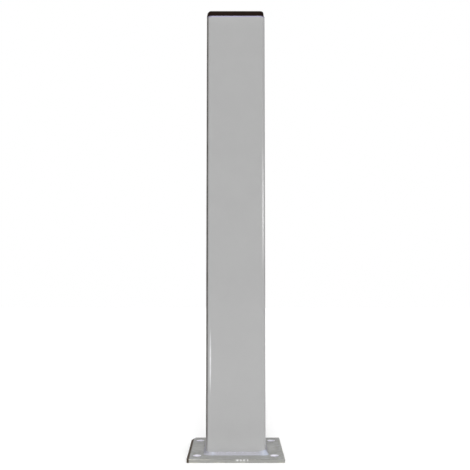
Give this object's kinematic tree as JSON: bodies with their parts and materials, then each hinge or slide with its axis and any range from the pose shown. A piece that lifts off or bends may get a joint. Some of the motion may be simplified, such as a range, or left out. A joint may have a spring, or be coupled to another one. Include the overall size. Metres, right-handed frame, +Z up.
{
  "type": "post with base plate",
  "caption": "Upright square steel post welded to a flat base plate with bolt holes, its open top closed by a push-in plastic cap.",
  "frame": {"origin": "middle of the base plate's underside, where the part meets the ground", "axes": "+Z up along the post, -Y towards the front face that the picture shows, +X to the right of that face"},
  "size_m": [0.16, 0.16, 0.7603],
  "materials": {
    "plate_paint": "thin grey paint, satin, slightly mottled",
    "post_paint": "smooth light grey paint, semi-gloss",
    "weld_paint": "light grey paint over a rippled weld",
    "cap_plastic": "black moulded plastic, satin"
  },
  "bodies": {
    "root": {"base_plate": "plate_paint", "square_post": "post_paint", "foot_weld": "weld_paint", "end_cap": "cap_plastic"}
  },
  "joints": []
}
